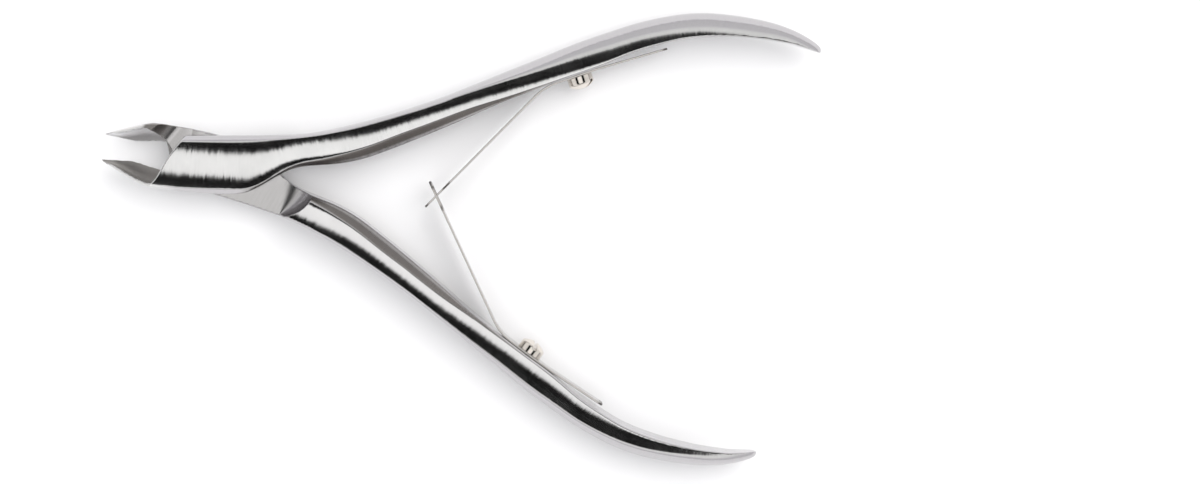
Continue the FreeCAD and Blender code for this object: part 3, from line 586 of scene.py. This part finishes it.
def turned_mesh(name, field, lo, hi, step, matrix):
    V, F = polygonise(field, lo, hi, step, coarse=4)
    normals = unit(gradient(field, V, 0.01))
    r = np.hypot(V[:, 0], V[:, 1])
    h = step
    lap = np.zeros(len(V))
    for k in range(3):
        for sg in (1, -1):
            P = V.copy()
            P[:, k] += sg * h
            lap += field(P[:, 0], P[:, 1], P[:, 2])
    a = np.arctan2(V[:, 1], V[:, 0])
    return make_mesh(name, V, F, normals, np.stack([r + V[:, 2], a * 2, V[:, 2]], 1),
                     {"edge": np.clip(lap / h / 2.0, -1, 1), "hollow": np.zeros(len(V)), "lap": np.zeros(len(V))}, matrix)


def on_seat(x, off):
    t = (x - 50.5) / UX
    return 50.5 + t * UX + off * NX, 22.15 + t * UY + off * NY


def spring_screw(name, side, x, turn):
    px, py = on_seat(x, 0.0)
    axis = Vector((NX, side * NY, 0))
    rot = Vector((0, 0, 1)).rotation_difference(axis).to_matrix().to_4x4()
    m = Matrix.Translation((px, side * py, MID)) @ rot @ Matrix.Rotation(math.radians(turn), 4, "Z")
    return turned_mesh(name, screw_field, (-2.2, -2.2, -3.1), (2.2, 2.2, 2.5), 0.075, m)


us = spring_screw("upper_screw", 1, 50.5, 62)
ls = spring_screw("lower_screw", -1, 49.4, 70)
pv = turned_mesh("pivot_stud", pivot_field, (-3.3, -3.3, -0.2), (3.3, 3.3, 6.5), 0.09, Matrix.Identity(4))
for ob, node, body, slot in ((us, "upper_spring_screw", "front", "screw_nickel"), (ls, "lower_spring_screw", "rear", "screw_nickel"), (pv, "pivot_screw", "front", "screw_steel")):
    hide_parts(node)
    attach(ob, body)


# ------------------------------------------------------------- leaf springs
CROSS = (31.85, 0.42)


def leaf_path(side):
    # Centre line of the strip in the +Y frame, from the tail to the free end,
    # as points with the distance from the crossing.
    cx = 45.5 if side > 0 else 44.55
    corner = on_seat(cx, 0.15)
    cross = (CROSS[0], side * CROSS[1])
    dx, dy = cross[0] - corner[0], cross[1] - corner[1]
    length = math.hypot(dx, dy)
    arm = (dx / length, dy / length)
    turn = math.acos(-(UX * arm[0] + UY * arm[1]))
    R = 9.0
    tan = R * math.tan(turn / 2)
    start = (corner[0] + tan * UX, corner[1] + tan * UY)
    centre = (start[0] + R * NX, start[1] + R * NY)
    a2 = SEAT_A - math.radians(3.0)
    clamp = on_seat(53.0, 0.15)
    reach = 11.25 if side > 0 else 9.75
    end = (clamp[0] + reach * math.cos(a2), clamp[1] + reach * math.sin(a2))
    pts = []

    def line(a, b, pitch):
        n = max(2, int(math.hypot(b[0] - a[0], b[1] - a[1]) / pitch))
        for i in range(n):
            pts.append((a[0] + (b[0] - a[0]) * i / n, a[1] + (b[1] - a[1]) * i / n))

    line(end, clamp, 0.35)
    line(clamp, start, 0.35)
    n = 16
    for i in range(n):
        t = turn * i / n
        # turn the radius from the start point towards the arm
        vx, vy = -NX * R, -NY * R
        c, s = math.cos(t), math.sin(t)
        pts.append((centre[0] + vx * c - vy * s, centre[1] + vx * s + vy * c))
    hinge = (corner[0] + tan * arm[0], corner[1] + tan * arm[1])
    tip = (cross[0] + 2.42 * arm[0], cross[1] + 2.42 * arm[1])
    line(hinge, tip, 0.2)
    pts.append(tip)
    return np.array(pts), hinge, arm, cross


def make_leaf(name, side):
    P, hinge, arm, cross = leaf_path(side)
    d = np.concatenate([[0], np.cumsum(np.hypot(*np.diff(P, axis=0).T))])
    k = np.argmin(np.hypot(P[:, 0] - cross[0], P[:, 1] - cross[1]))
    dc = d[k] - ((P[k, 0] - cross[0]) * arm[0] + (P[k, 1] - cross[1]) * arm[1])
    # Stations: the path's own points, plus the rows where the outline steps.
    if side > 0:
        keys = [dc - 2.6, dc - 1.7]
    else:
        keys = [dc - 2.0, dc + 1.55]
    total = d[-1]
    rows = sorted(set([round(v, 4) for v in d if all(abs(v - q) > 0.09 for q in keys)] + [round(q, 4) for q in keys]))
    rows = np.array(rows)
    # ends get a few closer rows so that their corners can be rounded
    ends = [0.0, 0.12, 0.3, 0.55]
    rows = np.array(sorted(set(np.round([r for r in rows if 0.6 < r < total - 0.6], 4).tolist() + ends + [round(total - e, 4) for e in ends])))
    X = np.interp(rows, d, P[:, 0])
    Y = np.interp(rows, d, P[:, 1])
    tx, ty = np.gradient(X, rows), np.gradient(Y, rows)
    L = np.hypot(tx, ty)
    tx, ty = tx / L, ty / L
    nx, ny = -ty, tx
    w = 1.8
    if side > 0:
        half_w = np.interp(rows, [dc - 2.6, dc - 1.7], [1.8, 0.8])
        across = np.array([-1, -0.5, 0, 0.5, 1.0])
    else:
        half_w = np.full(len(rows), 1.8)
        across = np.array([-1.8, -1.475, -1.15, 0, 1.15, 1.475, 1.8]) / 1.8
    # rounded outer corners at both ends
    rc = 0.55
    e = np.minimum(rows, total - rows)
    pull = np.where(e < rc, rc - np.sqrt(np.maximum(rc ** 2 - (rc - e) ** 2, 0)), 0)
    edge_w = half_w - pull
    verts, faces, brush = [], [], []
    nr, na = len(rows), len(across)
    for layer in (-1, 1):
        for i in range(nr):
            for a in across:
                zz = a * edge_w[i]
                verts.append((X[i] + nx[i] * 0.15 * layer, side * (Y[i] + ny[i] * 0.15 * layer), MID + zz))
                brush.append((rows[i], zz, 0.15 * layer))

    def vid(layer, i, j):
        return layer * nr * na + i * na + j

    def open_cell(i, j):
        if side > 0:
            return False
        mid = (rows[i] + rows[i + 1]) / 2
        return dc - 2.0 < mid < dc + 1.55 and 2 <= j < na - 3
    hole = set()
    for i in range(nr - 1):
        for j in range(na - 1):
            if open_cell(i, j):
                hole.add((i, j))
    for i in range(nr - 1):
        for j in range(na - 1):
            if (i, j) in hole:
                continue
            faces.append((vid(0, i, j), vid(0, i, j + 1), vid(0, i + 1, j + 1), vid(0, i + 1, j)))
            faces.append((vid(1, i, j), vid(1, i + 1, j), vid(1, i + 1, j + 1), vid(1, i, j + 1)))
            for (di, dj, a, b) in ((-1, 0, (i, j), (i, j + 1)), (1, 0, (i + 1, j + 1), (i + 1, j)), (0, -1, (i + 1, j), (i, j)), (0, 1, (i, j + 1), (i + 1, j + 1))):
                ni, nj = i + di, j + dj
                if 0 <= ni < nr - 1 and 0 <= nj < na - 1 and (ni, nj) not in hole:
                    continue
                faces.append((vid(0, *a), vid(1, *a), vid(1, *b), vid(0, *b)))
    run = np.array(brush)[:, 0]
    # painted shade: the strip's colour darkens towards both ends and at the outline steps, carried in the hollow
    # layer
    painted_shading = np.clip(1.3 - np.minimum(run, total - run) / 0.7, 0, 1)
    for q in keys:
        painted_shading = np.maximum(painted_shading, np.clip(1.2 - np.abs(run - q) / 0.45, 0, 1) * 0.9)
    ob = make_mesh(name, np.array(verts), faces, None, np.array(brush),
                   {"edge": np.zeros(len(verts)), "hollow": painted_shading, "lap": np.zeros(len(verts))})
    import bmesh
    bm = bmesh.new()
    bm.from_mesh(ob.data)
    loose = [v for v in bm.verts if not v.link_faces]
    bmesh.ops.delete(bm, geom=loose, context="VERTS")
    bmesh.ops.recalc_face_normals(bm, faces=bm.faces)
    bm.to_mesh(ob.data)
    bm.free()
    bev = ob.modifiers.new("Edges", "BEVEL")
    bev.width = 0.06 * MM
    bev.segments = 3
    bev.limit_method = "ANGLE"
    bev.angle_limit = math.radians(40)
    bev.harden_normals = True
    dg = bpy.context.evaluated_depsgraph_get()
    me = bpy.data.meshes.new_from_object(ob.evaluated_get(dg), preserve_all_data_layers=True, depsgraph=dg)
    me.name = name
    ob.modifiers.clear()
    ob.data = me
    h = Vector((hinge[0], side * hinge[1], MID)) * MM
    dirn = Vector((arm[0], side * arm[1], 0))
    return ob, h, dirn


ul, h1, d1 = make_leaf("upper_leaf", 1)
ll, h2, d2 = make_leaf("lower_leaf", -1)
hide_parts("upper_leaf_base", "upper_leaf_arm")
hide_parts("lower_leaf_base", "lower_leaf_arm")
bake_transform(ul)
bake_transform(ll)


# ---------------------------------------------------------------- materials
def node(nt, kind, **values):
    n = nt.nodes.new(kind)
    for k, v in values.items():
        setattr(n, k, v)
    return n


def steel(name, base, rough, aniso, grain, fine, wear_and_highlight=0.5, hollow=None, bevel=None, tilt=0.12):
    mat = bpy.data.materials.new(name)
    mat.use_nodes = True
    nt = mat.node_tree
    nt.nodes.clear()
    link = nt.links.new
    out = node(nt, "ShaderNodeOutputMaterial")
    bsdf = node(nt, "ShaderNodeBsdfPrincipled")
    link(bsdf.outputs[0], out.inputs[0])
    bsdf.inputs["Metallic"].default_value = 1.0
    bsdf.inputs["Anisotropic"].default_value = aniso
    tan = node(nt, "ShaderNodeTangent", direction_type="UV_MAP", uv_map="grain")
    link(tan.outputs[0], bsdf.inputs["Tangent"])
    at = node(nt, "ShaderNodeAttribute", attribute_name="brush")
    edge = node(nt, "ShaderNodeAttribute", attribute_name="edge")
    painted_hollow_shading = node(nt, "ShaderNodeAttribute", attribute_name="hollow")
    lap = node(nt, "ShaderNodeAttribute", attribute_name="lap")
    bev = node(nt, "ShaderNodeAttribute", attribute_name="bevel")

    def noise(scale, detail, distort=0.0):
        m = node(nt, "ShaderNodeMapping")
        m.inputs["Scale"].default_value = scale
        link(at.outputs["Vector"], m.inputs["Vector"])
        n = node(nt, "ShaderNodeTexNoise")
        n.inputs["Scale"].default_value = 1.0
        n.inputs["Detail"].default_value = detail
        n.inputs["Roughness"].default_value = 0.6
        n.inputs["Distortion"].default_value = distort
        link(m.outputs[0], n.inputs["Vector"])
        return n

    def math_node(op, a, b, clamp=False):
        n = node(nt, "ShaderNodeMath", operation=op, use_clamp=clamp)
        for k, v in ((0, a), (1, b)):
            if hasattr(v, "links"):
                link(v, n.inputs[k])
            else:
                n.inputs[k].default_value = v
        return n.outputs[0]

    streak = noise((grain[0], grain[1], grain[1]), 3.0)
    hair = noise((grain[0] * 4.2, grain[1] * 1.6, grain[1] * 1.6), 2.0)
    cloud = noise((0.22, 0.30, 0.30), 2.0, 0.3)
    # height of the grain
    mix = math_node("ADD", math_node("MULTIPLY", streak.outputs["Fac"], 0.6), math_node("MULTIPLY", hair.outputs["Fac"], 0.4))
    bump = node(nt, "ShaderNodeBump")
    bump.inputs["Strength"].default_value = fine
    bump.inputs["Distance"].default_value = 0.00002
    link(mix, bump.inputs["Height"])
    # each stroke of the belt leaves its own slight tilt across the piece
    geo = node(nt, "ShaderNodeNewGeometry")
    side = node(nt, "ShaderNodeVectorMath", operation="CROSS_PRODUCT")
    link(geo.outputs["Normal"], side.inputs[0])
    link(tan.outputs[0], side.inputs[1])
    stroke = noise((grain[0] * 0.8, grain[1] * 1.1, grain[1] * 1.1), 2.0)
    amount = math_node("MULTIPLY", math_node("SUBTRACT", stroke.outputs["Fac"], 0.5), tilt)
    lean = node(nt, "ShaderNodeVectorMath", operation="SCALE")
    link(side.outputs[0], lean.inputs[0])
    link(amount, lean.inputs["Scale"])
    add = node(nt, "ShaderNodeVectorMath", operation="ADD")
    link(geo.outputs["Normal"], add.inputs[0])
    link(lean.outputs[0], add.inputs[1])
    norm = node(nt, "ShaderNodeVectorMath", operation="NORMALIZE")
    link(add.outputs[0], norm.inputs[0])
    link(norm.outputs[0], bump.inputs["Normal"])
    link(bump.outputs[0], bsdf.inputs["Normal"])
    # roughness: base, streaks, slow clouding, polished edges, blasted hollow
    r = math_node("ADD", math_node("MULTIPLY", math_node("SUBTRACT", streak.outputs["Fac"], 0.5), rough * 0.5), rough)
    r = math_node("ADD", r, math_node("MULTIPLY", math_node("SUBTRACT", cloud.outputs["Fac"], 0.5), rough * 0.5))
    convex = math_node("MULTIPLY", edge.outputs["Fac"], wear_and_highlight, True)
    r = math_node("MULTIPLY", r, math_node("SUBTRACT", 1.0, math_node("MULTIPLY", convex, 0.5)))
    if hollow:
        r = math_node("ADD", r, math_node("MULTIPLY", painted_hollow_shading.outputs["Fac"], hollow[1]))
        r = math_node("ADD", r, math_node("MULTIPLY", lap.outputs["Fac"], 0.05))
        r = math_node("ADD", r, math_node("MULTIPLY", bev.outputs["Fac"], bevel[1]))
    link(r, bsdf.inputs["Roughness"])
    # colour: random tone from the grain, then painted highlight on convex edges and painted shade and light on the
    # masked faces
    ramp = node(nt, "ShaderNodeValToRGB")
    lo = tuple(c * 0.88 for c in base)
    hi = tuple(min(1, c * 1.06) for c in base)
    ramp.color_ramp.elements[0].position = 0.25
    ramp.color_ramp.elements[0].color = (*lo, 1)
    ramp.color_ramp.elements[1].position = 0.75
    ramp.color_ramp.elements[1].color = (*hi, 1)
    tone = math_node("ADD", math_node("MULTIPLY", cloud.outputs["Fac"], 0.5), math_node("MULTIPLY", streak.outputs["Fac"], 0.5))
    link(tone, ramp.inputs[0])
    # convex edges: lighter colour, partly rubbed polish wear and partly a painted highlight standing in for the
    # bright edge glint
    polished_edge_and_highlight = node(nt, "ShaderNodeMix", data_type="RGBA")
    link(convex, polished_edge_and_highlight.inputs["Factor"])
    link(ramp.outputs[0], polished_edge_and_highlight.inputs["A"])
    polished_edge_and_highlight.inputs["B"].default_value = (*[min(1, c * 1.18) for c in base], 1)
    last = polished_edge_and_highlight.outputs["Result"]
    # hollow layer colour is painted light and shade: darker on the front jaw's hollow, paler on the rear jaw's,
    # darker at the strip ends and steps
    if hollow:
        painted_shading = node(nt, "ShaderNodeMix", data_type="RGBA")
        link(painted_hollow_shading.outputs["Fac"], painted_shading.inputs["Factor"])
        link(last, painted_shading.inputs["A"])
        painted_shading.inputs["B"].default_value = (*hollow[0], 1)
        last = painted_shading.outputs["Result"]
        flat = node(nt, "ShaderNodeMix", data_type="RGBA")
        link(math_node("MULTIPLY", lap.outputs["Fac"], math_node("ADD", math_node("MULTIPLY", streak.outputs["Fac"], 0.5), 0.5), True), flat.inputs["Factor"])
        link(last, flat.inputs["A"])
        flat.inputs["B"].default_value = (0.42, 0.41, 0.40, 1)
        last = flat.outputs["Result"]
        # painted shade on steep outer walls: their colour is pulled down to a lilac grey
        steep_painted_shade_layer = node(nt, "ShaderNodeAttribute", attribute_name="steep")
        side_painted_shade = node(nt, "ShaderNodeMix", data_type="RGBA")
        link(math_node("MULTIPLY", steep_painted_shade_layer.outputs["Fac"], math_node("ADD", math_node("MULTIPLY", streak.outputs["Fac"], 0.3), 0.80), True), side_painted_shade.inputs["Factor"])
        link(last, side_painted_shade.inputs["A"])
        side_painted_shade.inputs["B"].default_value = (0.50, 0.487, 0.50, 1)
        last = side_painted_shade.outputs["Result"]
        # inner bevels: painted shade darkens the facets' colour; on the rear half the same mix also paints shade on
        # the jaw shoulder and lap floor
        bevel_finish_and_shade = node(nt, "ShaderNodeMix", data_type="RGBA")
        link(bev.outputs["Fac"], bevel_finish_and_shade.inputs["Factor"])
        link(last, bevel_finish_and_shade.inputs["A"])
        bevel_finish_and_shade.inputs["B"].default_value = (*bevel[0], 1)
        last = bevel_finish_and_shade.outputs["Result"]
    link(last, bsdf.inputs["Base Color"])
    return mat


# Hollow colours: painted shade on the front jaw's hollow, painted light on the rear jaw's. Bevel colours: painted
# shade on the inner bevels, and on the rear half also over the jaw shoulder and lap floor
forging = steel("satin_forging", (0.74, 0.735, 0.72), 0.15, 0.50, (9.0, 0.22), 0.30, 0.8, hollow=((0.34, 0.325, 0.31), 0.24), bevel=((0.17, 0.155, 0.145), 0.14))
forging_rear = steel("satin_forging_rear", (0.73, 0.72, 0.71), 0.15, 0.50, (9.0, 0.22), 0.30, 0.8, hollow=((0.84, 0.83, 0.84), 0.30), bevel=((0.215, 0.20, 0.19), 0.14))
# bright_strip: its hollow colour is the painted shade at the strip ends and steps
spring = steel("bright_strip", (0.52, 0.50, 0.475), 0.16, 0.4, (0.5, 9.0), 0.15, hollow=((0.13, 0.12, 0.11), 0.2), bevel=((0.3, 0.3, 0.3), 0.1))
nickel = steel("polished_nickel", (0.76, 0.71, 0.65), 0.12, 0.2, (7.0, 0.3), 0.12)
stud = steel("turned_steel", (0.66, 0.655, 0.65), 0.22, 0.3, (9.0, 0.3), 0.25)
for ob, mat in ((front, forging), (rear, forging_rear), (ul, spring), (ll, spring), (us, nickel), (ls, nickel), (pv, stud)):
    ob.data.materials.clear()
    ob.data.materials.append(mat)


# -------------------------------------------------------------------- floor
def floor_material():
    mat = bpy.data.materials.new("pale_floor")
    mat.use_nodes = True
    nt = mat.node_tree
    bsdf = nt.nodes["Principled BSDF"]
    tex = nt.nodes.new("ShaderNodeTexCoord")
    n = nt.nodes.new("ShaderNodeTexNoise")
    n.inputs["Scale"].default_value = 14.0
    n.inputs["Detail"].default_value = 3.0
    nt.links.new(tex.outputs["Object"], n.inputs["Vector"])
    ramp = nt.nodes.new("ShaderNodeValToRGB")
    ramp.color_ramp.elements[0].color = (0.90, 0.90, 0.905, 1)
    ramp.color_ramp.elements[1].color = (0.92, 0.92, 0.92, 1)
    nt.links.new(n.outputs["Fac"], ramp.inputs[0])
    nt.links.new(ramp.outputs[0], bsdf.inputs["Base Color"])
    bsdf.inputs["Roughness"].default_value = 0.75
    bsdf.inputs["Specular IOR Level"].default_value = 0.1
    return mat


def make_floor():
    pts, faces = [], []
    n, rings = 64, [0.0, 0.2, 0.6, 1.4, 3.0]
    pts.append((0.04, 0, -0.00001))
    for r in rings[1:]:
        for i in range(n):
            a = 2 * math.pi * i / n
            pts.append((0.04 + r * math.cos(a), r * math.sin(a), -0.00001))
    for i in range(n):
        faces.append((0, 1 + i, 1 + (i + 1) % n))
    for k in range(len(rings) - 2):
        for i in range(n):
            a, b = 1 + k * n + i, 1 + k * n + (i + 1) % n
            faces.append((a, a + n, b + n, b))
    me = bpy.data.meshes.new("floor")
    me.from_pydata(pts, [], faces)
    me.materials.append(floor_material())
    ob = bpy.data.objects.new("floor", me)
    bpy.context.scene.collection.objects.link(ob)
    return ob


make_floor()

# ------------------------------------------------------- light and the world
scene = bpy.context.scene
scene.view_settings.view_transform = "Standard"
world = bpy.data.worlds.new("studio")
scene.world = world
world.use_nodes = True
wt = world.node_tree
wt.nodes.clear()
wo = wt.nodes.new("ShaderNodeOutputWorld")
bg = wt.nodes.new("ShaderNodeBackground")
wt.links.new(bg.outputs[0], wo.inputs[0])
tc = wt.nodes.new("ShaderNodeTexCoord")
sep = wt.nodes.new("ShaderNodeVectorMath")
sep.operation = "DOT_PRODUCT"
wt.links.new(tc.outputs["Generated"], sep.inputs[0])
sep.inputs[1].default_value = Vector((-0.02, -0.055, 1.0)).normalized()
ramp = wt.nodes.new("ShaderNodeValToRGB")
wt.links.new(sep.outputs["Value"], ramp.inputs[0])
el = ramp.color_ramp.elements
stops = [(0.0, 0.74), (0.17, 0.76), (0.28, 0.78), (0.5, 0.80), (0.762, 0.70), (0.785, 0.004), (0.940, 0.002), (0.958, 1.0)]
while len(el) < len(stops):
    el.new(0.5)
for e, (p, v) in zip(el, stops):
    e.position = p
    e.color = (v, v, v * 1.01, 1)
wt.links.new(ramp.outputs[0], bg.inputs[0])
bg.inputs["Strength"].default_value = 1.15

key = bpy.data.lights.new("key", "AREA")
key.shape = "DISK"
key.size = 0.55
key.energy = 1.5
key.color = (1.0, 0.985, 0.97)
ko = bpy.data.objects.new("key", key)
scene.collection.objects.link(ko)
aim = Vector((0.035, 0.0, 0.004))
dirn = Vector((0.59 * math.sin(math.radians(36)), 0.807 * math.sin(math.radians(36)), math.cos(math.radians(36))))
ko.location = aim + dirn * 0.55
ko.rotation_mode = "QUATERNION"
ko.rotation_quaternion = dirn.to_track_quat("Z", "Y")
ko.visible_glossy = False

fill = bpy.data.lights.new("fill", "AREA")
fill.shape = "SQUARE"
fill.size = 3.0
fill.energy = 21.0
fill.color = (0.985, 0.98, 1.0)
fo = bpy.data.objects.new("fill", fill)
scene.collection.objects.link(fo)
fo.location = (0.04, 0.0, 1.6)
fo.visible_glossy = False
fo.visible_camera = False

# ------------------------------------------------------------------- camera
cam = bpy.data.cameras.new("camera")
co = bpy.data.objects.new("camera", cam)
scene.collection.objects.link(co)
cam.sensor_width = 36.0
cam.lens = 82.09
eye = Vector((40.10, 22.23, 423.66)) * MM
target = Vector((57.762, -2.848, 3.9)) * MM
roll = 0.1556
d = (target - eye).normalized()
up = Vector((-math.sin(roll), math.cos(roll), 0))
r = d.cross(up).normalized()
u = r.cross(d)
co.matrix_world = Matrix((
    (r.x, u.x, -d.x, eye.x),
    (r.y, u.y, -d.y, eye.y),
    (r.z, u.z, -d.z, eye.z),
    (0, 0, 0, 1)))
cam.clip_start, cam.clip_end = 0.01, 10
scene.camera = co
